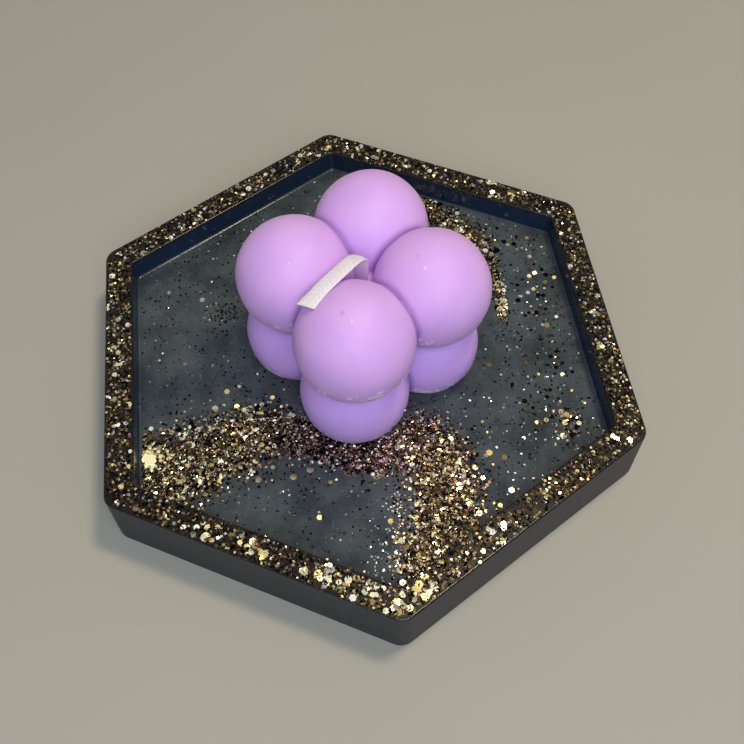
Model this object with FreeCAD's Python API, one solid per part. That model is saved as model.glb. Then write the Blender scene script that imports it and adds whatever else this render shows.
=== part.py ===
# Hexagonal cast-resin tray with a bubble candle standing in its recess.
# Units: millimetres. Origin: centre of the tray's underside. +Z is up, and a corner of the
# hexagon lies on +Y. Each piece is written to parts/NODE.step.
import FreeCAD, Part
import math
import os
import random

Vector = FreeCAD.Vector
ORIGIN = Vector(0, 0, 0)
UP = Vector(0, 0, 1)
SIDES = 6

# ---- tray: one tinted casting with a thin glitter pour on the rim
across_flats = 95.3          # outside, flat to flat
tray_height = 13.2           # underside to the top of the rim
rim_width = 5.2              # width of the rim, square to a side
recess_depth = 4.8           # top of the rim to the recess floor
outer_corner_radius = 3.0    # upright corners, outside
inner_corner_radius = 1.2    # upright corners of the recess
floor_fillet = 0.5           # where the recess wall meets its floor
foot_round = 0.5             # edge round the underside
rim_pour_thickness = 0.6     # glitter layer on top of the rim
rim_edge_round = 0.35        # both top edges of the glitter layer

# ---- loose hexagonal flakes set flush in the recess floor
flake_across_flats = 1.2
flake_thickness = 0.2
flake_count = 40
flake_spacing = 1.9          # least distance between flake centres
flake_wall_gap = 1.2         # least distance from a flake to the floor fillet or the candle
drift_spread = 3.0           # how far the flakes scatter about the drift's middle line
flake_seed = 11

# ---- candle: eight balls of wax in two tiers of four, cast as one piece
upper_ball_radius = 10.3
lower_ball_radius = 9.85
upper_pitch = 17.1           # between neighbouring upper balls
lower_pitch = 16.9           # between neighbouring lower balls
tier_height = 16.0           # lower ball centres to upper ball centres
base_cut = 6.5               # flat base to the lower ball centres
candle_turn = 30.0           # degrees, from the tray's X axis to the candle's
candle_shift = 0.6           # how far right of the tray's centre the candle stands
# How far each ball of the soft casting sits off its grid place, in the candle's X and Y,
# for the balls of the four quadrants in turn.
upper_drift = [(0.0, 0.0), (0.3, -0.2), (-0.1, -0.7), (0.0, 0.0)]
lower_drift = [(0.0, 0.0), (0.0, 0.0), (0.0, 0.0), (-0.4, 0.3)]

# ---- wick: flat cotton braid, straight through the wax, bent over between two upper balls
wick_width = 2.6
wick_thickness = 0.9
wick_edge_round = 0.3
wick_lay = 191.0             # degrees, from the candle's X axis to the way the tip points
wick_roll = 25.0             # degrees that the braid is turned about its own line
wick_bend_radius = 1.3
wick_sag_radius = 6.0
wick_gap = 0.1               # between the braid's lower edge and the ball that it lies along
wick_rest_reach = 9.0        # distance out from the candle's middle where it lies closest
wick_bend_rise = 0.8         # height of the bend above the line at which it would lie
# Where the free run turns and where it ends: distance out from the candle's middle, and
# height above the same line.
wick_crest = (3.4, 1.5)
wick_dip = (8.2, 0.3)
wick_tip = (13.6, 0.0)

# ---- sizes that follow from the ones above
floor_height = tray_height - recess_depth
recess_flats = across_flats - 2 * rim_width
wax_core_height = base_cut + tier_height
candle_reach = lower_pitch / math.sqrt(2) + math.sqrt(lower_ball_radius**2 - base_cut**2)


def polar(radius, angle, height=0.0):
    """Point at a radius and an angle in degrees."""
    turn = math.radians(angle)
    return Vector(radius * math.cos(turn), radius * math.sin(turn), height)


def upright_edges(solid):
    """Straight edges that run along Z."""
    return [edge for edge in solid.Edges if abs(edge.tangentAt(edge.FirstParameter).z) > 0.99]


def edges_at(solid, height):
    """Edges that lie flat at one height."""
    flat = [edge for edge in solid.Edges if edge.BoundBox.ZLength < 1e-6]
    return [edge for edge in flat if abs(edge.BoundBox.ZMin - height) < 1e-6]


def hexagon_prism(flats, bottom, top, corner_radius=0.0):
    """Upright hexagonal prism with a corner on +Y."""
    radius = flats / 2 / math.cos(math.pi / SIDES)
    corners = [polar(radius, 90 + 360 / SIDES * i, bottom) for i in range(SIDES)]
    face = Part.Face(Part.makePolygon(corners + corners[:1]))
    prism = face.extrude(UP * (top - bottom))
    if corner_radius:
        prism = prism.makeFillet(corner_radius, upright_edges(prism))
    return prism


# ---------------------------------------------------------------- tray
def recess_cutter(top):
    """Space of the recess, from its floor up to a height, with the floor's fillet."""
    cutter = hexagon_prism(recess_flats, floor_height, top, inner_corner_radius)
    return cutter.makeFillet(floor_fillet, edges_at(cutter, floor_height))


def make_tray_body(flakes):
    """Tinted casting: base and wall, up to the underside of the glitter layer."""
    wall_top = tray_height - rim_pour_thickness
    block = hexagon_prism(across_flats, 0, wall_top, outer_corner_radius)
    block = block.makeFillet(foot_round, edges_at(block, 0))
    return block.cut(recess_cutter(tray_height)).cut(flakes)


def make_rim_glitter_layer():
    """Glitter pour on top of the wall, with both its top edges eased."""
    wall_top = tray_height - rim_pour_thickness
    outer = hexagon_prism(across_flats, wall_top, tray_height, outer_corner_radius)
    inner = hexagon_prism(recess_flats, wall_top, tray_height, inner_corner_radius)
    ring = outer.cut(inner)
    return ring.makeFillet(rim_edge_round, edges_at(ring, tray_height))


def recess_reach(angle):
    """Distance from the tray's centre to the recess wall, in one direction."""
    step = 360 / SIDES
    off_normal = (angle + step / 2) % step - step / 2
    return recess_flats / 2 / math.cos(math.radians(off_normal))


def drift_line():
    """Middle line of the glitter drift, from corner to corner round the candle's front.

    Each stop is a direction and how far it lies from the candle's foot towards the wall.
    """
    stops = [(206, 0.85), (213, 0.60), (219, 0.28), (241, 0.16), (268, 0.14),
             (290, 0.20), (291, 0.50), (283, 0.72), (273, 0.85)]
    return [polar(candle_reach + share * (recess_reach(angle) - candle_reach), angle)
            for angle, share in stops]


def flake_places():
    """Scattered places along the drift, clear of the wall, the candle and each other."""
    dice = random.Random(flake_seed)
    line = drift_line()
    flake_reach = flake_across_flats / 2 / math.cos(math.pi / SIDES)
    edge_gap = flake_reach + flake_wall_gap
    places = []
    while len(places) < flake_count:
        leg = dice.randrange(len(line) - 1)
        place = line[leg] + (line[leg + 1] - line[leg]) * dice.random()
        place += Vector(dice.gauss(0, drift_spread), dice.gauss(0, drift_spread), 0)
        angle = math.degrees(math.atan2(place.y, place.x))
        wall_gap = (recess_reach(angle) - place.Length) * math.cos(math.radians(30)) - floor_fillet
        candle_gap = (place - Vector(candle_shift, 0, 0)).Length - candle_reach
        crowded = any((place - other).Length < flake_spacing for other in places)
        if wall_gap > edge_gap and candle_gap > edge_gap and not crowded:
            places.append(place)
    return places


def make_floor_flakes():
    """Identical hexagonal flakes, each a separate solid, with their tops level with the floor."""
    flakes = []
    for index, place in enumerate(flake_places()):
        flake = hexagon_prism(flake_across_flats, floor_height - flake_thickness, floor_height)
        flake.rotate(ORIGIN, UP, 137.5 * index)
        flake.translate(place)
        flakes.append(flake)
    return Part.makeCompound(flakes)


# ---------------------------------------------------------------- candle
def tier_of_balls(radius, pitch, height, drift):
    """Four balls at one height, one to each quadrant."""
    signs = [(1, 1), (-1, 1), (-1, -1), (1, -1)]
    return [Part.makeSphere(radius, Vector(x * pitch / 2 + off_x, y * pitch / 2 + off_y, height))
            for (x, y), (off_x, off_y) in zip(signs, drift)]


def wick_section():
    """Cross-section of the braid at the candle's base."""
    half_width = wick_width / 2
    half_thick = wick_thickness / 2
    corners = [Vector(-half_thick, -half_width, 0), Vector(half_thick, -half_width, 0),
               Vector(half_thick, half_width, 0), Vector(-half_thick, half_width, 0)]
    section = Part.makePolygon(corners + corners[:1])
    section.rotate(ORIGIN, UP, wick_roll)
    return section


def wick_rest_height():
    """Height at which the braid's lower edge just clears the upper ball that it lies along.

    The braid runs nearly along the valley between two upper balls, and the third quadrant's
    ball is the nearer one.
    """
    off_valley = wick_rest_reach * math.sin(math.radians(wick_lay - 180))
    half_across = wick_width / 2 * math.cos(math.radians(wick_roll))
    edge_drop = wick_width / 2 * math.sin(math.radians(wick_roll))
    half_thick = wick_thickness / 2 * math.cos(math.radians(wick_roll))
    ball_middle = upper_pitch / 2 - upper_drift[2][1]
    edge_to_ball = ball_middle - off_valley - half_across
    flank = math.sqrt(upper_ball_radius**2 - edge_to_ball**2)
    return wax_core_height + flank - edge_drop + half_thick + wick_gap


def wick_line():
    """Middle line of the free braid in the XZ plane: straight runs joined by tangent arcs."""
    rest = wick_rest_height()
    stops = [Vector(0, 0, wax_core_height), Vector(0, 0, rest + wick_bend_rise)]
    stops += [Vector(out, 0, rest + rise) for out, rise in (wick_crest, wick_dip, wick_tip)]
    radii = [wick_bend_radius, wick_sag_radius, wick_sag_radius]
    edges = []
    here = stops[0]
    for before, corner, after, radius in zip(stops, stops[1:], stops[2:], radii):
        arrive = (corner - before).normalize()
        leave = (after - corner).normalize()
        half_turn = arrive.getAngle(leave) / 2
        setback = radius * math.tan(half_turn)
        arc_start = corner - arrive * setback
        arc_end = corner + leave * setback
        inward = (leave - arrive).normalize()
        middle = corner + inward * (radius / math.cos(half_turn) - radius)
        edges.append(Part.LineSegment(here, arc_start).toShape())
        edges.append(Part.Arc(arc_start, middle, arc_end).toShape())
        here = arc_end
    edges.append(Part.LineSegment(here, stops[-1]).toShape())
    return Part.Wire(edges)


def make_upright_wick(length):
    """Straight part of the braid, up the candle's middle from its base."""
    bar = Part.Face(wick_section()).extrude(UP * length)
    bar = bar.makeFillet(wick_edge_round, upright_edges(bar))
    bar.rotate(ORIGIN, UP, wick_lay)
    return bar


def make_wick():
    """Braid from the candle's base, up through the wax, over the bend and out to the cut tip."""
    held = make_upright_wick(wax_core_height)
    end = [face for face in held.Faces if face.CenterOfMass.z > wax_core_height - 1e-6][0]
    line = wick_line()
    line.rotate(ORIGIN, UP, wick_lay)
    free = line.makePipeShell([end.OuterWire], True, False)
    return held.fuse(free).removeSplitter()


def make_candle_wax():
    """Eight balls round a solid core, cut flat at the base, with the wick's passage through."""
    lower = tier_of_balls(lower_ball_radius, lower_pitch, base_cut, lower_drift)
    upper = tier_of_balls(upper_ball_radius, upper_pitch, wax_core_height, upper_drift)
    core = Part.makeBox(lower_pitch, lower_pitch, wax_core_height,
                        Vector(-lower_pitch / 2, -lower_pitch / 2, 0))
    wax = core.multiFuse(lower + upper)
    width = 2 * (lower_pitch + lower_ball_radius)
    below_base = Part.makeBox(width, width, width, Vector(-width / 2, -width / 2, -width))
    wick_passage = make_upright_wick(wick_rest_height())
    return wax.cut(below_base).cut(wick_passage)


def stand_in_tray(shape):
    """Turn a candle piece and set it on the recess floor."""
    shape.rotate(ORIGIN, UP, candle_turn)
    shape.translate(Vector(candle_shift, 0, floor_height))
    return shape


# ---------------------------------------------------------------- pieces
floor_flakes = make_floor_flakes()

pieces = {
    "tray_body": make_tray_body(floor_flakes),
    "rim_glitter_layer": make_rim_glitter_layer(),
    "floor_flakes": floor_flakes,
    "candle_wax": stand_in_tray(make_candle_wax()),
    "wick": stand_in_tray(make_wick()),
}

os.makedirs("parts", exist_ok=True)
for name, shape in pieces.items():
    shape.exportStep("parts/" + name + ".step")
    box = shape.BoundBox
    print("%-18s solids %3d  volume %9.1f  x %6.1f..%5.1f  y %6.1f..%5.1f  z %5.1f..%5.1f" % (
        name, len(shape.Solids), shape.Volume, box.XMin, box.XMax, box.YMin, box.YMax,
        box.ZMin, box.ZMax))
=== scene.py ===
"""Looks of a hexagonal cast-resin tray with a bubble candle standing in its recess.

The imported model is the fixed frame: the tray's casting, its rim layer and the larger flakes keep
their own meshes and get finishes. The candle's wax and wick are made again here in finer form, and
the glitter is scattered as separate flakes. Everything is in metres, in the frame's own axes.
"""

import logging
import math
from dataclasses import dataclass
from enum import Enum
from typing import Any, Callable, Sequence

import bmesh
import bpy
import numpy as np
from bpy.types import Material, Mesh, Node, NodeSocket, Object
from mathutils import Matrix, Vector, noise


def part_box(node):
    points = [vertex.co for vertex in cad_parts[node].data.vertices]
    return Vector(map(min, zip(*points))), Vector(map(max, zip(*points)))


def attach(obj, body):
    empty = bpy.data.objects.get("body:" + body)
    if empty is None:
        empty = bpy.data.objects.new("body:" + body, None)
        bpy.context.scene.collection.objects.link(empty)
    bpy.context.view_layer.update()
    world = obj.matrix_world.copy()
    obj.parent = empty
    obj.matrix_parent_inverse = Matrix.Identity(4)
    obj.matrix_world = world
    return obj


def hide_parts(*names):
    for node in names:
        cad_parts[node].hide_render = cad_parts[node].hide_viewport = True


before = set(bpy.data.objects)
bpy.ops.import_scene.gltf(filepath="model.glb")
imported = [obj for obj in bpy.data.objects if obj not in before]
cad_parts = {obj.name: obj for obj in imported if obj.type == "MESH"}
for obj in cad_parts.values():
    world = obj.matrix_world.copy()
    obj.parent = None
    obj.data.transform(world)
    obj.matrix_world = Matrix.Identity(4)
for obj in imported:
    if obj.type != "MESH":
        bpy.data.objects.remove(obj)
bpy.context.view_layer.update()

log = logging.getLogger("candle_tray")
MM = 0.001
SIDES = 6

Colour = tuple[float, float, float]


class Body(Enum):
    """Bodies of the frame that pieces ride on."""

    TRAY = "tray"
    CANDLE = "candle"


class Slot(Enum):
    """Names of the pieces' finishes."""

    RESIN = "smoked_resin"
    RIM = "rim_glitter"
    FLAKES = "gold_flakes"
    WAX = "lilac_wax"
    WICK = "cotton_wick"


class Film(Enum):
    """Colours that the glitter film is sold in."""

    CHAMPAGNE = (0.96, 0.90, 0.68)
    HONEY = (0.95, 0.86, 0.50)
    GOLD = (0.74, 0.59, 0.27)
    OLD_GOLD = (0.31, 0.235, 0.095)
    BRONZE = (0.17, 0.098, 0.046)
    ROSE = (0.42, 0.24, 0.28)
    PINK = (0.88, 0.62, 0.78)
    SILVER = (0.80, 0.83, 0.90)
    SMOKE = (0.075, 0.085, 0.10)
    BLACK = (0.010, 0.009, 0.010)
    # UNLIT: the emission colour of flakes without a painted glint
    UNLIT = (0.0, 0.0, 0.0)


# ---- shader tools
def math_method(operation: str, swap: bool = False) -> Callable[..., "Value"]:
    """A method of Value that adds one Math node.

    Args:
        operation: The node's operation.
        swap: Whether the value itself is the second input.

    Returns:
        The method; it takes the node's further inputs, numbers or values.
    """
    def method(value: "Value", *others: Any) -> "Value":
        """Add the node to the value's graph."""
        terms = [*others, value] if swap else [value, *others]
        return value.graph.value("ShaderNodeMath", {"operation": operation},
                                 dict(enumerate(terms)))
    return method


class Value:
    """A number in a shader, so that arithmetic on it adds the Math nodes that it needs."""

    def __init__(self, graph: "Graph", socket: NodeSocket) -> None:
        """Wrap an output socket of a graph."""
        self.graph = graph
        self.socket = socket

    __add__ = __radd__ = math_method("ADD")
    __mul__ = __rmul__ = math_method("MULTIPLY")
    __sub__ = math_method("SUBTRACT")
    __rsub__ = math_method("SUBTRACT", swap=True)
    __abs__ = math_method("ABSOLUTE")
    __lt__ = math_method("LESS_THAN")
    at_least = math_method("MAXIMUM")

    def ramp(self, low: float, high: float) -> "Value":
        """Smooth rise from zero at one value to one at another.

        Args:
            low: Where the result is zero.
            high: Where the result is one; it may be below low.

        Returns:
            The eased share.
        """
        settings = {"interpolation_type": "SMOOTHSTEP"}
        inputs = {"Value": self, "From Min": low, "From Max": high}
        return self.graph.value("ShaderNodeMapRange", settings, inputs)


class Graph:
    """The node tree of one material."""

    def __init__(self, name: str) -> None:
        """Start an empty material with a name."""
        self.material = bpy.data.materials.new(name)
        self.material.use_nodes = True
        self.tree = self.material.node_tree
        self.tree.nodes.clear()

    def node(self, kind: str, settings: dict[str, Any] | None = None,
             inputs: dict[str | int, Any] | None = None) -> Node:
        """Add a node.

        Args:
            kind: The node's type.
            settings: Its properties, set first.
            inputs: What its sockets get, numbers, colours, sockets or values, by name or number.

        Returns:
            The new node.
        """
        made = self.tree.nodes.new(kind)
        for key, setting in (settings or {}).items():
            setattr(made, key, setting)
        for key, given in (inputs or {}).items():
            self._feed(made.inputs[key], given)
        return made

    def _feed(self, socket: NodeSocket, given: Any) -> None:
        """Link or set one socket."""
        if isinstance(given, Value):
            given = given.socket
        if isinstance(given, NodeSocket):
            self.tree.links.new(given, socket)
        elif socket.type == "RGBA" and len(given) == 3:
            socket.default_value = (*given, 1.0)
        else:
            socket.default_value = given

    def value(self, kind: str, settings: dict[str, Any] | None = None,
              inputs: dict[str | int, Any] | None = None, output: str | int = 0) -> Value:
        """Add a node and take one of its outputs as a number."""
        return Value(self, self.node(kind, settings, inputs).outputs[output])

    def place(self) -> NodeSocket:
        """Object coordinates."""
        return self.node("ShaderNodeTexCoord").outputs["Object"]

    def facing(self) -> NodeSocket:
        """The surface's own normal, in object axes."""
        return self.node("ShaderNodeTexCoord").outputs["Normal"]

    def along(self, vector: NodeSocket, direction: Sequence[float]) -> Value:
        """How far a vector goes in a direction."""
        inputs = {0: vector, 1: direction}
        return self.value("ShaderNodeVectorMath", {"operation": "DOT_PRODUCT"}, inputs, "Value")

    def cloud(self, size: float, detail: float = 2.0, roughness: float = 0.5) -> Value:
        """Soft noise.

        Args:
            size: Width of its patches, in metres.
            detail: Octaves of finer noise.
            roughness: How strong the finer noise is.

        Returns:
            The noise, about 0.5 on average.
        """
        inputs = {"Vector": self.place(), "Scale": 1 / size, "Detail": detail,
                  "Roughness": roughness}
        return self.value("ShaderNodeTexNoise", None, inputs)

    def painted(self, name: str) -> Value:
        """A number that each point of the piece carries."""
        return self.value("ShaderNodeAttribute", {"attribute_name": name}, None, "Fac")

    def mix(self, factor: Any, first: Any, second: Any) -> NodeSocket:
        """Blend two colours by a factor."""
        made = self.node("ShaderNodeMix", {"data_type": "RGBA"})
        sockets = {socket.identifier: socket for socket in made.inputs}
        self._feed(sockets["Factor_Float"], factor)
        self._feed(sockets["A_Color"], first)
        self._feed(sockets["B_Color"], second)
        return next(out for out in made.outputs if out.identifier == "Result_Color")

    def specks(self, cell: float, radius: float, share: float) -> Value:
        """Scattered round specks.

        Args:
            cell: Distance between possible places, in metres.
            radius: A speck's radius, in metres.
            share: How many of the places hold one, from 0 to 1.

        Returns:
            One inside a speck, else zero.
        """
        inputs = {"Vector": self.place(), "Scale": 1 / cell}
        cells = self.node("ShaderNodeTexVoronoi", {"feature": "F1"}, inputs)
        split = self.node("ShaderNodeSeparateColor", None, {0: cells.outputs["Color"]})
        size = Value(self, split.outputs[1]) * 0.6 + 0.4
        gap = Value(self, cells.outputs["Distance"]) - size * (radius / cell)
        inside = gap.ramp(0.10 * radius / cell, -0.25 * radius / cell)
        return inside * (Value(self, split.outputs[0]) < share)

    def bump(self, height: Value, depth: float) -> NodeSocket:
        """Normal bent by a height.

        Args:
            height: The height, from 0 to 1.
            depth: What a height of 1 measures, in metres.

        Returns:
            The normal.
        """
        inputs = {"Height": height, "Distance": depth, "Strength": 1.0}
        return self.node("ShaderNodeBump", None, inputs).outputs["Normal"]

    def finish(self, inputs: dict[str, Any]) -> Material:
        """Close the graph with one surface shader.

        Args:
            inputs: Sockets of the surface shader.

        Returns:
            The finished material.
        """
        shader = self.node("ShaderNodeBsdfPrincipled", None, inputs)
        output = self.node("ShaderNodeOutputMaterial")
        self.tree.links.new(shader.outputs["BSDF"], output.inputs["Surface"])
        return self.material


# ---- finishes
@dataclass(frozen=True)
class SmokedResin:
    """Tinted casting resin: cloudy slate in the recess, navy walls, satin outer sides."""

    floor: Colour = (0.078, 0.092, 0.100)
    floor_dark: Colour = (0.024, 0.031, 0.038)
    wall: Colour = (0.009, 0.024, 0.056)
    side: Colour = (0.009, 0.011, 0.019)
    side_streak: Colour = (0.040, 0.044, 0.060)
    pale_speck: Colour = (0.22, 0.24, 0.26)
    dark_speck: Colour = (0.008, 0.009, 0.013)

    def make(self, outer: "Hexagon") -> Material:
        """Build the material for a tray with this outline."""
        g = Graph("smoked_resin")
        level = g.along(g.facing(), (0, 0, 1)).ramp(0.3, 0.8)
        rim = outer.shader_reach(g).ramp(outer.flats / 2 - 1.2 * MM, outer.flats / 2 - 0.6 * MM)
        clouds = g.cloud(9 * MM, 4.0, 0.62).ramp(0.32, 0.66)
        dust = g.cloud(0.9 * MM, 3.0, 0.7)
        base = g.mix(clouds * 0.75 + dust * 0.25, self.floor_dark, self.floor)
        base = g.mix(g.specks(0.62 * MM, 0.24 * MM, 0.55) * dust.ramp(0.35, 0.75), base,
                     self.dark_speck)
        base = g.mix(g.specks(1.9 * MM, 0.42 * MM, 0.40) * 0.75, base, self.dark_speck)
        base = g.mix(g.specks(0.55 * MM, 0.16 * MM, 0.30) * dust.ramp(0.62, 0.35), base,
                     self.pale_speck)
        colour = g.mix(level, self.wall, base)
        streaks = g.cloud(0.6 * MM, 2.0, 0.7)
        colour = g.mix(rim, colour, g.mix(streaks.ramp(0.4, 0.8), self.side, self.side_streak))
        waves = g.cloud(14 * MM, 1.0)
        roughness = 0.17 + rim * (0.22 + streaks * 0.14)
        height = waves * 0.6 + rim * streaks * 0.5
        return g.finish({"Base Color": colour, "Roughness": roughness,
                         "Normal": g.bump(height, 0.12 * MM), "IOR": 1.45})


@dataclass(frozen=True)
class RimBed:
    """Glitter pour on the rim, between and below the flakes that stand out of it."""

    deep: Colour = (0.005, 0.004, 0.004)
    brown: Colour = (0.014, 0.009, 0.006)
    bronze: Colour = (0.12, 0.070, 0.028)
    gold: Colour = (0.42, 0.29, 0.11)
    side: Colour = (0.009, 0.011, 0.019)

    def make(self) -> Material:
        """Build the material."""
        g = Graph("rim_glitter_bed")
        top = g.along(g.facing(), (0, 0, 1)).ramp(0.35, 0.75)
        base = g.mix(g.cloud(3 * MM, 2.0).ramp(0.4, 0.7), self.deep, self.brown)
        bronze = g.specks(0.42 * MM, 0.19 * MM, 0.45)
        gold = g.specks(0.33 * MM, 0.12 * MM, 0.16)
        base = g.mix(bronze, base, self.bronze)
        base = g.mix(gold, base, self.gold)
        foil = bronze.at_least(gold) * top
        colour = g.mix(top, self.side, base)
        return g.finish({"Base Color": colour, "Metallic": foil * 0.85,
                         "Roughness": 0.40 - top * 0.16,
                         "Normal": g.bump(foil * g.cloud(0.4 * MM, 1.0), 0.10 * MM)})


@dataclass(frozen=True)
class GlitterFilm:
    """Metallised film: each flake carries its own colour, and some flakes glow with a painted
    glint.
    """

    attribute: str = "film"
    metallic: float = 0.92
    roughness: float = 0.27
    painted_glint_strength: float = 1.0

    def make(self) -> Material:
        """Build the material."""
        g = Graph("glitter_film_painted_glint")
        film = g.node("ShaderNodeAttribute", {"attribute_name": self.attribute})
        streak = g.cloud(0.25 * MM, 1.0)
        # painted glint: the film's alpha makes a flake glow by emission in its own colour
        glint = Value(g, film.outputs["Alpha"])
        painted_glint_colour = g.mix(glint, Film.UNLIT.value, film.outputs["Color"])
        return g.finish({"Base Color": film.outputs["Color"], "Metallic": self.metallic,
                         "Roughness": self.roughness - 0.06 + streak * 0.12,
                         "Emission Color": painted_glint_colour, "Emission Strength": self.painted_glint_strength})


@dataclass(frozen=True)
class InlaidFlake:
    """Gold flakes set in the floor, some brighter than others."""

    bright: Colour = Film.CHAMPAGNE.value
    dull: Colour = Film.OLD_GOLD.value

    def make(self) -> Material:
        """Build the material."""
        g = Graph("inlaid_flake")
        shade = g.cloud(2.2 * MM, 0.0).ramp(0.35, 0.65)
        return g.finish({"Base Color": g.mix(shade, self.dull, self.bright), "Metallic": 0.9,
                         "Roughness": 0.24 + g.cloud(0.3 * MM, 1.0) * 0.12})


@dataclass(frozen=True)
class LilacWax:
    """Satin wax that light goes a little way into."""

    body: Colour = (0.76, 0.445, 0.89)
    cloud: Colour = (0.71, 0.415, 0.89)
    # groove: painted shade colour, for the creases between balls, the upper balls' undersides and
    # pits
    groove: Colour = (0.24, 0.09, 0.40)
    # low and waist: a painted tint of cool fill light on the lower balls, below the waist
    low: Colour = (0.68, 0.41, 0.93)
    chip: Colour = (0.97, 0.76, 0.98)
    waist: float = 24 * MM
    # the attribute of real chips, and of a painted highlight on proud marks
    scuff: str = "scuff"
    # the attribute of painted shade in creases, pits and under the upper balls
    crease: str = "crease"

    def make(self) -> Material:
        """Build the material."""
        g = Graph("lilac_wax")
        clouds = g.cloud(7 * MM, 2.0).ramp(0.3, 0.7)
        colour = g.mix(clouds, self.cloud, self.body)
        height = g.along(g.place(), (0, 0, 1))
        # painted cool fill light: the lower balls turn bluer below the waist
        colour = g.mix(height.ramp(self.waist + 3 * MM, self.waist - 3 * MM), colour, self.low)
        # painted shade in the creases, in pits and under the upper balls
        colour = g.mix(g.painted(self.crease) * 0.8, colour, self.groove)
        # chips, and a painted highlight on proud marks
        colour = g.mix(g.painted(self.scuff).ramp(0.1, 0.8), colour, self.chip)
        skin = g.cloud(1.1 * MM, 3.0, 0.6)
        return g.finish({"Base Color": colour, "Roughness": 0.44 + skin * 0.10,
                         "Subsurface Weight": 0.6, "Subsurface Radius": (1.0, 0.42, 0.75),
                         "Subsurface Scale": 2.2 * MM, "IOR": 1.44,
                         "Normal": g.bump(skin, 0.03 * MM)})


@dataclass(frozen=True)
class WaxedCotton:
    """Cotton braid stiffened with a little wax."""

    thread: Colour = (0.90, 0.83, 0.89)
    # the darker colour of fibres and patches, and of the painted shade in the plait's furrows
    dark_fibre_and_shade: Colour = (0.62, 0.54, 0.60)
    soaked: Colour = (0.72, 0.54, 0.73)

    def make(self) -> Material:
        """Build the material."""
        g = Graph("waxed_cotton")
        fibre = g.cloud(0.14 * MM, 3.0, 0.65)
        patch = g.cloud(2.2 * MM, 1.0).ramp(0.50, 0.75)
        # painted shade in the plait's furrows, with darker fibres and patches
        colour = g.mix(fibre.ramp(0.60, 0.30) * 0.25 + g.painted("furrow") * 0.30,
                       self.thread, self.dark_fibre_and_shade)
        colour = g.mix(patch * 0.25, colour, self.dark_fibre_and_shade)
        colour = g.mix(g.painted("soaked"), colour, self.soaked)
        return g.finish({"Base Color": colour, "Roughness": 0.60 - patch * 0.2,
                         "Subsurface Weight": 0.25, "Subsurface Scale": 0.5 * MM,
                         "Normal": g.bump(fibre, 0.05 * MM)})


@dataclass(frozen=True)
class TableCloth:
    """Plain pale table under the tray."""

    tone: Colour = (0.42, 0.39, 0.34)

    def make(self) -> Material:
        """Build the material."""
        g = Graph("pale_table")
        clouds = g.cloud(60 * MM, 2.0)
        darker = tuple(part * 0.94 for part in self.tone)
        return g.finish({"Base Color": g.mix(clouds, darker, self.tone), "Roughness": 0.75})


# ---- shared geometry
@dataclass(frozen=True)
class Hexagon:
    """A regular hexagon with a corner on +Y, given flat to flat."""

    flats: float

    @staticmethod
    def normals() -> list[Vector]:
        """Outward directions of three neighbouring sides."""
        return [Vector((math.cos(a), math.sin(a), 0)) for a in (0, math.pi / 3, 2 * math.pi / 3)]

    def insets(self, spots: np.ndarray) -> np.ndarray:
        """How far inside its nearest side each place lies, one place per row."""
        spans = [np.abs(spots @ np.array(normal.xy)) for normal in self.normals()]
        return self.flats / 2 - np.max(spans, axis=0)

    def reach(self, angle: float) -> float:
        """Distance from the middle to the sides, in a direction given in radians."""
        step = 2 * math.pi / SIDES
        return self.flats / 2 / math.cos((angle + step / 2) % step - step / 2)

    def shader_reach(self, g: Graph) -> Value:
        """The same distance to the nearest pair of sides, as a shader value."""
        spans = [abs(g.along(g.place(), normal)) for normal in self.normals()]
        return spans[0].at_least(spans[1]).at_least(spans[2])


def link(mesh: Mesh, name: str, material: Material) -> Object:
    """Put a finished mesh in the scene as an object at the origin, with one material."""
    made = bpy.data.objects.new(name, mesh)
    bpy.context.scene.collection.objects.link(made)
    mesh.materials.clear()
    mesh.materials.append(material)
    return made


def baked(mesh: Mesh, add: Callable[[Object], None]) -> Mesh:
    """Apply modifiers to a mesh.

    Args:
        mesh: The mesh to start from.
        add: Adds the modifiers to an object that holds it.

    Returns:
        A new mesh with the modifiers applied.
    """
    holder = bpy.data.objects.new("holder", mesh)
    bpy.context.scene.collection.objects.link(holder)
    add(holder)
    graph = bpy.context.evaluated_depsgraph_get()
    result = bpy.data.meshes.new_from_object(holder.evaluated_get(graph))
    bpy.data.objects.remove(holder)
    return result


def to_mesh(bm: bmesh.types.BMesh, name: str) -> Mesh:
    """Write a bmesh to a new mesh and free it."""
    mesh = bpy.data.meshes.new(name)
    bm.to_mesh(mesh)
    bm.free()
    return mesh


def smooth(mesh: Mesh) -> None:
    """Shade every face of a mesh smooth."""
    mesh.polygons.foreach_set("use_smooth", [True] * len(mesh.polygons))


def rows(mesh: Mesh, name: str) -> np.ndarray:
    """The places ("co") or normals ("normal") of a mesh's points, one row each."""
    values = np.zeros(len(mesh.vertices) * 3)
    mesh.vertices.foreach_get(name, values)
    return values.reshape(-1, 3)


def paint(mesh: Mesh, **layers: np.ndarray) -> None:
    """Give each point of a mesh numbers that a finish can read by name."""
    for name, values in layers.items():
        mesh.attributes.new(name, "FLOAT", "POINT").data.foreach_set("value", values)


def keep(piece: Object, body: Body) -> None:
    """Ride a piece on its body and report it."""
    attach(piece, body.value)
    log.info("%s: %d faces, rides on %s", piece.name, len(piece.data.polygons), body.value)


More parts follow.
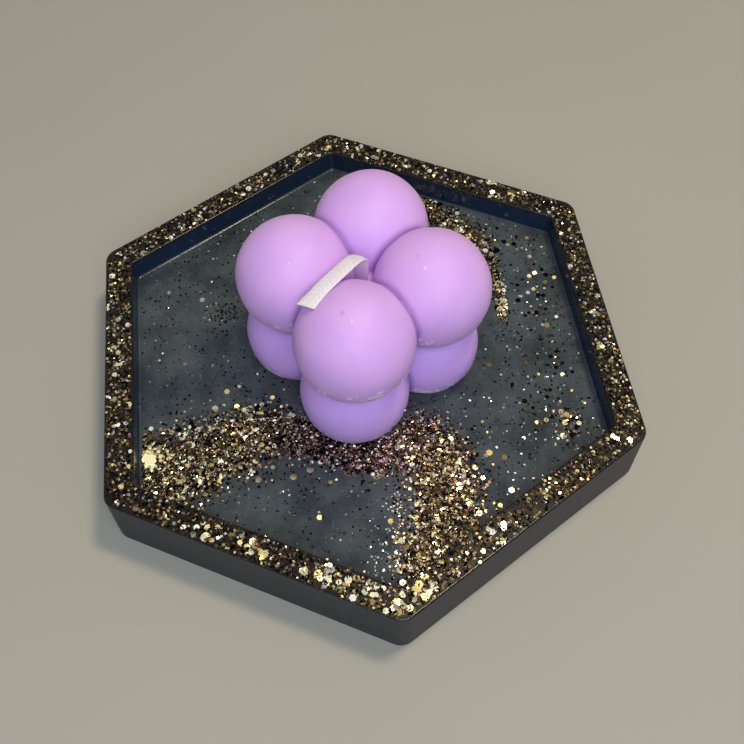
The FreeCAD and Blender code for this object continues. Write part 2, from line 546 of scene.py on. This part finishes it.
# ---- glitter
@dataclass(frozen=True)
class Mix:
    """A mix of glitter films, and how many of its flakes get a painted glint that makes them glow.
    """

    shares: dict[Film, float]
    glints: float = 0.0      # share of the bright flakes that get a painted glint
    painted_glint_strength: float = 0.45       # strongest painted glint
    faintest: float = 0.2    # faintest painted glint, as a share of the strongest

    def pick(self, count: int, dice: np.random.Generator) -> np.ndarray:
        """Colours for a number of flakes.

        Args:
            count: How many flakes.
            dice: Source of chance.

        Returns:
            One row per flake: its colour, and the strength of its painted glint.
        """
        films = list(self.shares)
        weights = np.array([self.shares[film] for film in films])
        picks = dice.choice(len(films), count, p=weights / weights.sum())
        colours = np.array([film.value for film in films])[picks]
        colours = (colours * dice.uniform(0.70, 1.15, (count, 1))).clip(0, 1)
        bright = colours[:, 0] > 0.5
        glints = bright * (dice.random(count) < self.glints)
        glints = glints * dice.uniform(self.faintest, 1, count)
        return np.column_stack([colours, glints * self.painted_glint_strength])


@dataclass(frozen=True)
class FlakeCut:
    """One cut of glitter: a thin plate with straight sides."""

    across: float
    thick: float
    sides: int
    tilt: float           # degrees that most flakes lean by
    spread: float = 0.22  # share by which sizes differ
    stray: float = 0.55   # how widely they lie about a drift, as a share of its half width
    steepest: float = 1.1  # largest lean, in radians

    def plate(self) -> Mesh:
        """One closed plate about the origin."""
        bm = bmesh.new()
        radius = self.across / 2 / math.cos(math.pi / self.sides)
        bmesh.ops.create_cone(bm, cap_ends=True, cap_tris=False, segments=self.sides,
                              radius1=radius, radius2=radius, depth=self.thick)
        return to_mesh(bm, "plate")

    def scatter(self, name: str, places: np.ndarray, films: np.ndarray,
                dice: np.random.Generator, material: Material) -> Object:
        """One plate at each place, each turned and tilted by chance.

        Args:
            name: The new piece's name.
            places: Where the plates' middles go, one row each.
            films: Their colours and painted glints, one row each.
            dice: Source of chance.
            material: Their finish.

        Returns:
            The new piece.
        """
        count = len(places)

        def repeat(holder: Object) -> None:
            """Repeat the plate once for each place."""
            copies = holder.modifiers.new("copies", "ARRAY")
            copies.count = count
            copies.use_relative_offset = False

        mesh = baked(self.plate(), repeat)
        points = rows(mesh, "co").astype(np.float32).reshape(count, -1, 3)
        points *= 1 + dice.uniform(-self.spread, self.spread, (count, 1, 1))
        turned = np.einsum("nij,nkj->nki", self.turns(count, dice), points)
        placed = turned + places[:, None, :]
        mesh.vertices.foreach_set("co", placed.astype(np.float32).ravel())
        # the film attribute holds each flake's colour, and its painted glint in alpha
        layer = mesh.color_attributes.new("film", "FLOAT_COLOR", "POINT")
        layer.data.foreach_set("color", np.repeat(films, points.shape[1], axis=0).ravel())
        mesh.update()
        return link(mesh, name, material)

    def turns(self, count: int, dice: np.random.Generator) -> np.ndarray:
        """Rotation matrices: any turn about the vertical, then a lean to a random side."""
        spins = dice.uniform(0, 2 * math.pi, count)
        sides = dice.uniform(0, 2 * math.pi, count)
        leans = np.abs(dice.normal(0, math.radians(self.tilt), count))
        leans = leans.clip(0, self.steepest)
        return np.array([Matrix.Rotation(lean, 3, Vector((math.cos(side), math.sin(side), 0)))
                         @ Matrix.Rotation(spin, 3, "Z")
                         for spin, side, lean in zip(spins, sides, leans)])


# Glints in these mixes are painted: the flakes that get one glow by emission.
RIM_MIX = Mix({Film.CHAMPAGNE: 0.85, Film.GOLD: 1.1, Film.OLD_GOLD: 2.0, Film.BRONZE: 3.2,
               Film.BLACK: 5.8, Film.SILVER: 0.25, Film.ROSE: 0.3}, glints=0.35)
RIM_BRIGHT = Mix({Film.CHAMPAGNE: 3.0, Film.GOLD: 1.6, Film.SILVER: 0.25}, glints=0.65,
                 painted_glint_strength=0.85)
BED_MIX = Mix({Film.BLACK: 5.0, Film.BRONZE: 2.0})
DRIFT_MIX = Mix({Film.CHAMPAGNE: 1.1, Film.GOLD: 1.3, Film.OLD_GOLD: 1.9, Film.BRONZE: 3.2,
                 Film.BLACK: 5.6, Film.ROSE: 0.7}, glints=0.45, painted_glint_strength=0.6)
CANDLE_MIX = Mix({Film.CHAMPAGNE: 0.9, Film.GOLD: 0.5, Film.OLD_GOLD: 1.0, Film.BRONZE: 2.0,
                  Film.BLACK: 5.0, Film.ROSE: 3.0, Film.PINK: 0.7}, glints=0.5, painted_glint_strength=0.6)
DRIFT_BRIGHT = Mix({Film.CHAMPAGNE: 2.8, Film.GOLD: 1.8, Film.OLD_GOLD: 0.6}, glints=0.7,
                   painted_glint_strength=0.7)
FLOOR_MIX = Mix({Film.SMOKE: 2.5, Film.BLACK: 4.0, Film.SILVER: 0.7, Film.CHAMPAGNE: 0.7,
                 Film.OLD_GOLD: 0.8}, glints=0.4)
DUST_MIX = Mix({Film.SILVER: 3.0, Film.SMOKE: 1.5, Film.CHAMPAGNE: 1.5}, glints=0.2)
# The star flake always gets a full painted glint; the halo flakes round it paint its glow.
STAR_PAINTED_GLINT = Mix({Film.HONEY: 1.0}, glints=1.0, painted_glint_strength=1.0, faintest=1.0)
PAINTED_GLOW_HALO = Mix({Film.HONEY: 1.0, Film.GOLD: 1.0}, glints=1.0, painted_glint_strength=0.85, faintest=0.5)

# One stop of a drift: direction in degrees, share of the way from the candle's foot to the wall,
# and half width.
Stop = tuple[float, float, float]


@dataclass
class Tray:
    """The tray: its outline, its recess and the glitter cast into both."""

    candle: "Candle"
    rim_width: float = 5.2 * MM
    edge_margin: float = 0.22 * MM
    corner_margin: float = 1.0 * MM
    wall_margin: float = 0.7 * MM
    seed: int = 7
    left_drift: tuple[Stop, ...] = (
        (206, 0.97, 6.4 * MM), (208, 0.80, 7.2 * MM), (210, 0.62, 7.0 * MM),
        (212, 0.46, 6.4 * MM), (214, 0.28, 6.0 * MM), (218, 0.12, 4.8 * MM),
        (232, 0.08, 3.6 * MM))
    front_drift: tuple[Stop, ...] = (
        (226, 0.10, 3.6 * MM), (258, 0.10, 3.4 * MM), (280, 0.14, 4.6 * MM),
        (298, 0.06, 3.8 * MM))
    right_drift: tuple[Stop, ...] = (
        (292, 0.06, 4.2 * MM), (296, 0.18, 5.0 * MM), (293, 0.42, 6.2 * MM),
        (290, 0.62, 6.4 * MM), (284, 0.80, 5.3 * MM), (275, 0.96, 4.0 * MM))
    back_patch: tuple[Stop, ...] = (
        (70, 0.90, 2.6 * MM), (61, 0.88, 3.0 * MM), (51, 0.76, 3.6 * MM), (40, 0.64, 3.2 * MM),
        (32, 0.53, 2.0 * MM), (17, 0.44, 1.3 * MM), (8, 0.41, 1.0 * MM))
    smudge: tuple[Stop, ...] = ((151, 0.28, 2.4 * MM), (153, 0.38, 2.4 * MM))
    dust_patch: tuple[Stop, ...] = (
        (276, 0.42, 2.6 * MM), (270, 0.74, 3.4 * MM), (266, 0.92, 2.6 * MM))
    right_cluster: tuple[Stop, ...] = ((332, 0.72, 3.6 * MM), (328, 0.78, 3.6 * MM))
    sprinkle: tuple[Stop, ...] = (
        (42, 0.95, 4.0 * MM), (20, 0.80, 7.0 * MM), (345, 0.70, 7.0 * MM),
        (322, 0.50, 5.0 * MM))
    corner_patch: tuple[Stop, ...] = (
        (200, 0.94, 3.6 * MM), (209, 0.95, 4.0 * MM), (216, 0.94, 3.4 * MM))
    # Parts of the rim that hold the most bright flakes: two directions in degrees, and how many.
    bright_arcs: tuple[tuple[float, float, int], ...] = (
        (251.0, 277.0, 44), (225.0, 231.0, 6), (237.0, 243.0, 7))
    star: tuple[float, float] = (-40.5 * MM, -17.6 * MM)
    star_lift: float = 0.22 * MM
    # halo flakes: glinting flakes round the star flake that paint its glow
    halo_flakes: int = 60
    halo_spread: float = 1.15 * MM
    halo_lift: float = 0.10 * MM
    unevenness: float = 0.05 * MM    # most that a flake is raised by chance
    # Places drawn for each flake wanted, as some fall outside.
    rim_draws: int = 6
    floor_draws: int = 4
    drift_draws: int = 3
    arc_draws: int = 4000

    def __post_init__(self) -> None:
        """Read the outline and the heights from the frame."""
        low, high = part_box("rim_glitter_layer")
        self.outer = Hexagon(high.x - low.x)
        self.recess = Hexagon(self.outer.flats - 2 * self.rim_width)
        self.rim_top = high.z
        self.floor = self.candle.base
        self.dice = np.random.default_rng(self.seed)
        self.film = GlitterFilm().make()

    def dress(self) -> None:
        """Give the tray's own pieces their finishes."""
        finishes = {"tray_body": SmokedResin().make(self.outer),
                    "rim_glitter_layer": RimBed().make(),
                    "floor_flakes": InlaidFlake().make()}
        for node, material in finishes.items():
            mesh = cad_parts[node].data
            mesh.materials.clear()
            mesh.materials.append(material)

    # -- where flakes may lie
    def on_rim(self, count: int, margin: float) -> np.ndarray:
        """Places spread evenly over the top of the rim, clear of both of its edges."""
        limit = self.outer.reach(math.pi / 2)
        spots = self.dice.uniform(-limit, limit, (count * self.rim_draws, 2))
        depth = self.outer.insets(spots)
        from_corner = limit - np.hypot(*spots.T)
        kept = ((depth > margin) & (depth < self.rim_width - margin)
                & (from_corner > margin + self.corner_margin))
        return self.raised(spots[kept][:count], self.rim_top)

    def on_bright_arcs(self, margin: float) -> np.ndarray:
        """Places on the brightest stretches of the rim."""
        places = self.on_rim(self.arc_draws, margin)
        angles = np.degrees(np.arctan2(places[:, 1], places[:, 0])) % 360
        return np.concatenate([places[(angles > first) & (angles < last)][:count]
                               for first, last, count in self.bright_arcs])

    def on_floor(self, count: int) -> np.ndarray:
        """Places spread over the whole open floor."""
        limit = self.recess.reach(math.pi / 2)
        spots = self.dice.uniform(-limit, limit, (count * self.floor_draws, 2))
        return self.raised(spots[self.open_floor(spots)][:count], self.floor)

    def in_drift(self, count: int, stops: Sequence[Stop], stray: float) -> np.ndarray:
        """Places scattered along a drift, thinning out to its sides.

        Args:
            count: How many at most.
            stops: The drift's stops.
            stray: How widely they lie about it, as a share of its half width.

        Returns:
            The places, one row each.
        """
        points, halves = [], []
        for angle, share, half in stops:
            turn = math.radians(angle)
            foot = self.candle.reach
            radius = foot + share * (self.recess.reach(turn) - foot)
            points.append((radius * math.cos(turn), radius * math.sin(turn)))
            halves.append(half)
        points, halves = np.array(points), np.array(halves)
        steps = np.hypot(*np.diff(points, axis=0).T) * (halves[1:] + halves[:-1])
        along = self.dice.uniform(0, steps.sum(), count * self.drift_draws)
        knots = np.append(0, steps.cumsum())
        middle = np.column_stack([np.interp(along, knots, column) for column in points.T])
        half = np.interp(along, knots, halves)[:, None]
        spots = middle + self.dice.normal(0, stray, middle.shape) * half
        return self.raised(spots[self.open_floor(spots)][:count], self.floor)

    def open_floor(self, spots: np.ndarray) -> np.ndarray:
        """Which places on the floor are clear of the wall and of the candle's feet."""
        return (self.recess.insets(spots) > self.wall_margin) & ~self.candle.stands_on(spots)

    @staticmethod
    def raised(spots: np.ndarray, height: float) -> np.ndarray:
        """Places in a plane, lifted to a height."""
        return np.column_stack([spots, np.full(len(spots), height)])

    # -- the glitter itself
    def lay(self, name: str, cut: FlakeCut, places: np.ndarray, mix: Mix, slot: Slot) -> None:
        """Scatter one cut of glitter over places and report it."""
        lift = self.dice.uniform(0.0, self.unevenness, len(places))
        lifted = places + lift[:, None] * (0, 0, 1)
        films = mix.pick(len(places), self.dice)
        keep(cut.scatter(name, lifted, films, self.dice, self.film), Body.TRAY)

    def glitter_rim(self) -> None:
        """Fine, middling and large flakes standing out of the rim's glitter pour."""
        for name, cut, count, mix in (
                ("rim_flakes_fine", FlakeCut(0.36 * MM, 0.05 * MM, 4, 26), 8600, RIM_MIX),
                ("rim_flakes_middling", FlakeCut(0.56 * MM, 0.05 * MM, 6, 20), 2300, RIM_MIX),
                ("rim_flakes_large", FlakeCut(0.92 * MM, 0.06 * MM, 6, 12), 165, RIM_BRIGHT),
                ("rim_sequins", FlakeCut(1.05 * MM, 0.06 * MM, 6, 10), None, RIM_BRIGHT)):
            margin = self.edge_margin + cut.across / 2
            places = self.on_rim(count, margin) if count else self.on_bright_arcs(margin)
            self.lay(name, cut, places, mix, Slot.RIM)

    def glitter_floor(self) -> None:
        """Drifts of gold flakes and a sprinkling of fine specks in the floor."""
        fine = FlakeCut(0.34 * MM, 0.04 * MM, 4, 20)
        middling = FlakeCut(0.54 * MM, 0.05 * MM, 6, 14)
        large = FlakeCut(0.92 * MM, 0.05 * MM, 6, 8)
        areas = {self.left_drift: (1.30, 1.5), self.right_drift: (1.12, 1.45),
                 self.back_patch: (0.46, 0.75), self.corner_patch: (0.30, 0.4),
                 self.right_cluster: (0.03, 0.09), self.sprinkle: (0.06, 0.12)}
        bed = FlakeCut(0.80 * MM, 0.04 * MM, 5, 5, stray=0.40)
        for name, cut, count, mix in (("drift_bed", bed, 560, BED_MIX),
                                      ("drift_flakes_fine", fine, 3400, DRIFT_MIX),
                                      ("drift_flakes_middling", middling, 800, DRIFT_MIX),
                                      ("drift_flakes_large", large, 92, DRIFT_BRIGHT)):
            places = [self.in_drift(int(count * shares[cut is large]), stops, cut.stray)
                      for stops, shares in areas.items()]
            self.lay(name, cut, np.concatenate(places), mix, Slot.FLAKES)
        speck = FlakeCut(0.30 * MM, 0.04 * MM, 4, 14, 0.4)
        dust = FlakeCut(0.24 * MM, 0.03 * MM, 4, 14, 0.4)
        sequin = FlakeCut(0.80 * MM, 0.05 * MM, 6, 7)
        for name, cut, count, stops, mix in (
                ("candle_bed", bed, 380, self.front_drift, BED_MIX),
                ("dark_smudge", fine, 90, self.smudge, BED_MIX),
                ("candle_flakes_fine", fine, 2600, self.front_drift, CANDLE_MIX),
                ("candle_flakes_middling", middling, 560, self.front_drift, CANDLE_MIX),
                ("floor_specks", speck, 2100, None, FLOOR_MIX),
                ("pale_dust", dust, 210, self.dust_patch, DUST_MIX),
                ("floor_sequins", sequin, 34, None, DRIFT_BRIGHT)):
            places = self.in_drift(count, stops, cut.stray) if stops else self.on_floor(count)
            self.lay(name, cut, places, mix, Slot.FLAKES)
        # The star flake with a full painted glint, and a halo of glinting flakes that paints its
        # glow.
        star = np.array([self.star])
        near = star + self.dice.normal(0, self.halo_spread, (self.halo_flakes, 2))
        near = self.raised(near[self.open_floor(near)], self.floor + self.halo_lift)
        self.lay("star_painted_glow_halo", middling, near, PAINTED_GLOW_HALO, Slot.FLAKES)
        self.lay("star_flake", FlakeCut(2.0 * MM, 0.08 * MM, 12, 3, 0.0),
                 self.raised(star, self.floor + self.star_lift), STAR_PAINTED_GLINT, Slot.FLAKES)


# ---- candle
@dataclass
class Candle:
    """Eight balls of wax in two tiers round a core, with a flat cotton wick."""

    upper_radius: float = 10.3 * MM
    lower_radius: float = 9.85 * MM
    upper_pitch: float = 17.1 * MM
    lower_pitch: float = 16.9 * MM
    tier_height: float = 16.0 * MM
    base_cut: float = 6.5 * MM
    turn: float = 30.0
    middle: tuple[float, float] = (0.6 * MM, 0.0)
    upper_drift: tuple[tuple[float, float], ...] = ((0, 0), (0.3 * MM, -0.2 * MM),
                                                    (-0.1 * MM, -0.7 * MM), (0, 0))
    lower_drift: tuple[tuple[float, float], ...] = ((0, 0), (0, 0), (0, 0),
                                                    (-0.4 * MM, 0.3 * MM))
    voxel: float = 0.30 * MM
    foot_gap: float = 0.45 * MM
    groove_reach: float = 0.80 * MM
    # Pits and pimples on the upper balls: which ball, direction and height angle in degrees,
    # radius, and depth (a negative depth stands proud).
    marks: tuple[tuple[int, float, float, float, float], ...] = (
        (2, 210.0, 77.0, 0.60 * MM, 0.16 * MM), (2, 259.0, 73.0, 0.50 * MM, -0.10 * MM),
        (3, 236.0, 69.0, 0.60 * MM, -0.10 * MM), (3, 190.0, 74.0, 0.45 * MM, 0.08 * MM),
        (1, 260.0, 62.0, 0.50 * MM, -0.07 * MM))
    # Bands that carry chips, as a share of the upper balls' radius below their middles and as a
    # height above the base: middle and half width of each.
    flash: tuple[float, float] = (0.29, 0.22)
    sill: tuple[float, float] = (2.8 * MM, 2.5 * MM)
    sill_strength: float = 1.35
    shade_start: float = 0.46    # where painted shade starts towards the upper balls' undersides, as a share of the radius
    shade_run: float = 0.14

    def __post_init__(self) -> None:
        """Read the candle's base from the frame."""
        low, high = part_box("candle_wax")
        self.base = low.z
        self.height = high.z - low.z
        self.placed = (Matrix.Translation((*self.middle, self.base))
                       @ Matrix.Rotation(math.radians(self.turn), 4, "Z"))
        self.foot = math.sqrt(self.lower_radius**2 - self.base_cut**2)
        self.reach = self.lower_pitch / math.sqrt(2) + self.foot
        self.core_height = self.base_cut + self.tier_height

    @staticmethod
    def tier(radius: float, pitch: float, height: float, drift: Sequence[tuple[float, float]]
             ) -> list[tuple[Vector, float]]:
        """Middle and radius of one tier's four balls, in the candle's own axes."""
        signs = [(1, 1), (-1, 1), (-1, -1), (1, -1)]
        return [(Vector((x * pitch / 2 + dx, y * pitch / 2 + dy, height)), radius)
                for (x, y), (dx, dy) in zip(signs, drift)]

    def balls(self) -> list[tuple[Vector, float]]:
        """Middle and radius of each ball, the lower four first."""
        return (self.tier(self.lower_radius, self.lower_pitch, self.base_cut, self.lower_drift)
                + self.tier(self.upper_radius, self.upper_pitch, self.core_height,
                            self.upper_drift))

    def stands_on(self, spots: np.ndarray) -> np.ndarray:
        """Which places on the floor lie under the candle's feet or too close to them."""
        back = np.array(self.placed.inverted())[:2, :2]
        own = (spots - np.array(self.middle)) @ back.T
        covered = (np.abs(own) < self.lower_pitch / 2 + self.foot_gap).all(axis=1)
        for place, _ in self.balls()[:4]:
            covered |= np.hypot(*(own - np.array(place.xy)).T) < self.foot + self.foot_gap
        return covered

    # -- wax
    def cast(self) -> Mesh:
        """Balls and core merged into one skin, cut flat at the base."""
        bm = bmesh.new()
        for place, radius in self.balls():
            bmesh.ops.create_icosphere(bm, subdivisions=6, radius=radius,
                                       matrix=Matrix.Translation(place))
        sink = 1 * MM
        size = Matrix.Diagonal((self.lower_pitch, self.lower_pitch, self.core_height + sink, 1))
        lift = Matrix.Translation((0, 0, (self.core_height - sink) / 2))
        bmesh.ops.create_cube(bm, size=1.0, matrix=lift @ size)

        def merge(holder: Object) -> None:
            """Merge the shapes into one skin and ease its creases."""
            remesh = holder.modifiers.new("skin", "REMESH")
            remesh.mode = "VOXEL"
            remesh.voxel_size = self.voxel
            ease = holder.modifiers.new("ease", "SMOOTH")
            ease.factor = 0.5
            ease.iterations = 3

        merged = baked(to_mesh(bm, "wax_shapes"), merge)
        bm = bmesh.new()
        bm.from_mesh(merged)
        cut = bmesh.ops.bisect_plane(bm, geom=bm.verts[:] + bm.edges[:] + bm.faces[:],
                                     dist=1e-7, plane_co=(0, 0, 0), plane_no=(0, 0, -1),
                                     clear_outer=True)
        rim = [item for item in cut["geom_cut"] if isinstance(item, bmesh.types.BMEdge)]
        bmesh.ops.contextual_create(bm, geom=rim)
        return to_mesh(bm, "candle_wax_cast")

    def weather(self, mesh: Mesh) -> None:
        """Give the skin its unevenness, its chipped seams, its grooves and its small marks, with
        painted shade in creases, pits and under the upper balls.
        """
        spots, normals = rows(mesh, "co"), rows(mesh, "normal")
        gaps = np.array([np.abs(np.linalg.norm(spots - np.array(place), axis=1) - radius)
                         for place, radius in self.balls()])
        second = np.sort(gaps, axis=0)[1]
        # groove: nearness to a seam between balls; it dents the skin there and carries painted
        # shade
        groove = np.exp(-((second / self.groove_reach) ** 2))
        on_upper = gaps[4:].min(axis=0) < gaps[:4].min(axis=0)
        below = (self.core_height - spots[:, 2]) / self.upper_radius
        swell, grit = [], []
        for spot in map(Vector, spots):
            swell.append(noise.noise(spot / (6 * MM)))
            grit.append(noise.noise(spot / (0.50 * MM)) + 0.9 * noise.noise(spot / (3.4 * MM)))
        swell, grit = np.array(swell), np.array(grit)
        flash = on_upper * (1 - np.abs(below - self.flash[0]) / self.flash[1]).clip(0, 1)
        sill = (1 - np.abs(spots[:, 2] - self.sill[0]) / self.sill[1]).clip(0, 1)
        band = np.maximum(flash, self.sill_strength * sill)
        chips = (band > 0) * ((grit - 0.08 + 0.5 * (band - 1)) * 4.0).clip(0, 1)
        # painted shade: the upper balls darken towards their undersides
        underside_shade = ((below - self.shade_start) / self.shade_run).clip(0, 1)
        shade = np.maximum(groove, 0.5 * on_upper * underside_shade)
        push = swell * 0.06 * MM + chips * 0.08 * MM - groove * 0.06 * MM
        for ball, angle, height, radius, depth in self.marks:
            place, ball_radius = self.balls()[4 + ball]
            turn, rise = math.radians(angle - self.turn), math.radians(height)
            way = Vector((math.cos(turn) * math.cos(rise), math.sin(turn) * math.cos(rise),
                          math.sin(rise)))
            away = np.linalg.norm(spots - np.array(place + way * ball_radius), axis=1)
            hump = np.exp(-(away / radius * 1.6) ** 2)
            push -= depth * hump
            # painted highlight on proud marks, in the pale chip colour, and painted shade in pits
            chips = np.maximum(chips, hump * 0.55 * (depth < 0))
            shade = np.maximum(shade, hump * 0.40 * (depth > 0))
        push *= (spots[:, 2] > 0.05 * MM) * (gaps.min(axis=0) < 0.5 * MM)
        spots += normals * push[:, None]
        spots[:, 2] = spots[:, 2].clip(None, self.height)
        mesh.vertices.foreach_set("co", spots.ravel())
        paint(mesh, scuff=chips, crease=shade * (1 - chips))

    def make_wax(self) -> Object:
        """The candle's wax, in place of its plain solid."""
        mesh = self.cast()
        self.weather(mesh)
        mesh.transform(self.placed)
        smooth(mesh)
        wax = link(mesh, "bubble_candle_wax", LilacWax().make())
        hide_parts("candle_wax")
        keep(wax, Body.CANDLE)
        return wax


@dataclass
class Wick:
    """Flat three-strand cotton braid, straight through the wax and bent over above it."""

    candle: Candle
    lay: float = 191.0
    thickness: float = 0.70 * MM
    plait_pitch: float = 1.05 * MM
    plait_relief: float = 0.055 * MM
    cut_slant: float = 0.30
    step: float = 0.11 * MM
    segments: int = 36
    bottom: float = 0.4 * MM
    run_out: float = 1.0 * MM    # straight length past the tip, for the slanted cut
    cut_reach: float = 3.0 * MM
    dry_from: float = 27.0 * MM    # where the braid starts to lose the wax that it soaked up
    dry_run: float = 4.5 * MM
    # Points that the braid's middle line follows: out, across and up, from the candle's base.
    route: tuple[tuple[float, float, float], ...] = (
        (0.6, 0.3, 0.0), (0.6, 0.3, 10.0), (0.6, 0.3, 20.0), (0.6, 0.35, 27.0),
        (0.6, 0.4, 28.4), (0.7, 0.5, 30.0), (2.0, 0.6, 31.2), (3.9, 0.75, 31.6),
        (6.0, 0.85, 31.7), (8.6, 0.85, 31.65), (11.4, 0.85, 31.35), (14.5, 0.9, 30.65))
    # Distance back from the tip, width there, and degrees that the braid is rolled by.
    shape: tuple[tuple[float, float, float], ...] = (
        (0.0, 3.3 * MM, 7), (1.2 * MM, 3.15 * MM, 9), (3.0 * MM, 3.0 * MM, 11),
        (10.0 * MM, 2.95 * MM, 13), (13.5 * MM, 2.9 * MM, 15), (16.0 * MM, 2.75 * MM, 18),
        (40.0 * MM, 2.6 * MM, 22))

    def middle_line(self) -> tuple[np.ndarray, np.ndarray]:
        """The smooth line through the route and past the tip, and each point's distance."""
        curve = bpy.data.curves.new("wick_route", "CURVE")
        curve.dimensions = "3D"
        curve.resolution_u = 24
        spline = curve.splines.new("NURBS")
        spline.points.add(len(self.route) - 1)
        for point, place in zip(spline.points, self.route):
            point.co = (*(Vector(place) * MM), 1)
        spline.use_endpoint_u = True
        spline.order_u = 3
        holder = bpy.data.objects.new("wick_route", curve)
        flat = bpy.data.meshes.new_from_object(holder)
        line = np.array([vertex.co for vertex in flat.vertices])
        bpy.data.objects.remove(holder)
        last = line[-1] - line[-2]
        line = np.vstack([line, line[-1] + last / np.linalg.norm(last) * self.run_out])
        return line, np.append(0, np.linalg.norm(np.diff(line, axis=0), axis=1).cumsum())

    def straight_tube(self, length: float) -> Mesh:
        """Closed round tube of radius 1 along Z, finely divided."""
        bm = bmesh.new()
        ring = bmesh.ops.create_circle(bm, cap_ends=True, segments=self.segments, radius=1)
        steps = round(length / self.step)
        start = bm.faces[:]
        bmesh.ops.spin(bm, geom=start + bm.edges[:] + ring["verts"], cent=(0, 0, 0),
                       axis=(0, 0, 1), dvec=(0, 0, length / steps), angle=0, steps=steps,
                       use_merge=False)
        bmesh.ops.recalc_face_normals(bm, faces=bm.faces[:])
        return to_mesh(bm, "wick_tube")

    def make(self) -> Object:
        """The braid, in place of its plain solid."""
        line, along = self.middle_line()
        length = along[-1] - self.run_out
        mesh = self.straight_tube(length)
        across, over, height = rows(mesh, "co").T
        back = length - height
        backs, *sizes = np.array(self.shape).T
        width, roll = (np.interp(back, backs, size) for size in sizes)
        flat = np.sign(over) * np.abs(over) ** 0.55
        strands = height / self.plait_pitch - 0.85 * np.abs(across)
        strands += np.where(across > 0, 0.5, 0.0) + np.where(over > 0, 0.25, 0.0)
        ridge = np.abs(np.sin(math.pi * strands)) ** 0.6
        valley = 1 - 0.5 * np.exp(-(across / 0.10) ** 2)
        relief = (ridge * valley - 1) * self.plait_relief
        x = across * (width / 2 + relief * 0.8)
        y = flat * (self.thickness / 2 * (1 - 0.35 * across**2) + relief)
        tip = (1 - back / self.cut_reach).clip(0, 1)
        reached = (height - self.cut_slant * x * tip**2).clip(self.bottom, None)
        before, middle, after = (
            np.column_stack([np.interp(reached + step, along, column) for column in line.T])
            for step in (-self.step, 0, self.step))
        ahead = after - before
        ahead /= np.linalg.norm(ahead, axis=1)[:, None]
        side = np.array((0, 1, 0)) - ahead * ahead[:, 1:2]
        side /= np.linalg.norm(side, axis=1)[:, None]
        up = np.cross(ahead, side)
        turn = np.radians(roll)[:, None]
        wide = side * np.cos(turn) + up * np.sin(turn)
        thick = np.cross(ahead, wide)
        bent = middle + wide * x[:, None] + thick * y[:, None]
        mesh.vertices.foreach_set("co", bent.ravel())
        soaked = (1 - (reached - self.dry_from) / self.dry_run).clip(0, 1)
        # the furrow layer: painted shade in the plait's furrows, where the relief dips
        paint(mesh, soaked=soaked, furrow=1 - ridge * valley)
        mesh.transform(self.candle.placed @ Matrix.Rotation(math.radians(self.lay), 4, "Z"))
        smooth(mesh)
        wick = link(mesh, "braided_wick", WaxedCotton().make())
        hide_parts("wick")
        keep(wick, Body.CANDLE)
        return wick


# ---- studio
@dataclass
class Studio:
    """Camera, soft lights and a plain table."""

    aim: tuple[float, float, float] = (1.44 * MM, -5.44 * MM, 9.88 * MM)
    distance: float = 184.5 * MM
    azimuth: float = -7.12
    elevation: float = 57.49
    roll: float = -0.78
    view_angle: float = 41.5
    warm: Colour = (1.0, 0.86, 0.58)
    cool: Colour = (0.80, 0.90, 1.0)

    def add_camera(self) -> None:
        """Stand the camera in front of the tray, looking down into it."""
        data = bpy.data.cameras.new("camera")
        data.sensor_width = 36.0
        data.angle = math.radians(self.view_angle)
        data.clip_start = 0.01
        turn = (Matrix.Rotation(math.radians(self.azimuth), 4, "Z")
                @ Matrix.Rotation(math.radians(90 - self.elevation), 4, "X"))
        place = Vector(self.aim) + turn @ Vector((0, 0, self.distance))
        camera = bpy.data.objects.new("camera", data)
        camera.matrix_world = (Matrix.Translation(place) @ turn
                               @ Matrix.Rotation(math.radians(self.roll), 4, "Z"))
        bpy.context.scene.collection.objects.link(camera)
        bpy.context.scene.camera = camera

    @staticmethod
    def add_light(name: str, way: Sequence[float], distance: float, size: float, power: float,
                  tint: Colour) -> None:
        """Hang a square light that points at the tray.

        Args:
            name: The light's name.
            way: Direction in which it hangs, seen from the tray.
            distance: How far away it hangs.
            size: Length of its sides.
            power: Its power in watts.
            tint: Its colour.
        """
        data = bpy.data.lights.new(name, "AREA")
        data.shape = "SQUARE"
        data.size = size
        data.energy = power
        data.color = tint
        light = bpy.data.objects.new(name, data)
        light.location = Vector(way).normalized() * distance
        light.rotation_euler = Vector(way).to_track_quat("Z", "Y").to_euler()
        bpy.context.scene.collection.objects.link(light)

    def add_lights(self) -> None:
        """A warm lamp overhead, a large cool window in front, and a dim even surround."""
        self.add_light("lamp", (0.27, 0.06, 0.96), 0.60, 0.09, 1.45, self.warm)
        self.add_light("window", (0.02, -0.62, 0.80), 0.70, 0.45, 3.0, self.cool)
        world = bpy.data.worlds.new("surround")
        world.use_nodes = True
        world.node_tree.nodes["Background"].inputs["Color"].default_value = (0.86, 0.94, 1, 1)
        world.node_tree.nodes["Background"].inputs["Strength"].default_value = 0.24
        bpy.context.scene.world = world
        bpy.context.scene.view_settings.view_transform = "Standard"

    @staticmethod
    def add_table() -> None:
        """Lay a plain pale surface under the tray."""
        bm = bmesh.new()
        bmesh.ops.create_grid(bm, x_segments=1, y_segments=1, size=1.5)
        table = link(to_mesh(bm, "table"), "table", TableCloth().make())


def main() -> None:
    """Build the scene in order: studio, tray, candle."""
    logging.basicConfig(level=logging.INFO, format="%(message)s")
    studio = Studio()
    studio.add_camera()
    studio.add_lights()
    studio.add_table()
    candle = Candle()
    candle.make_wax()
    Wick(candle).make()
    tray = Tray(candle)
    tray.dress()
    tray.glitter_rim()
    tray.glitter_floor()


if __name__ == "__main__":
    main()
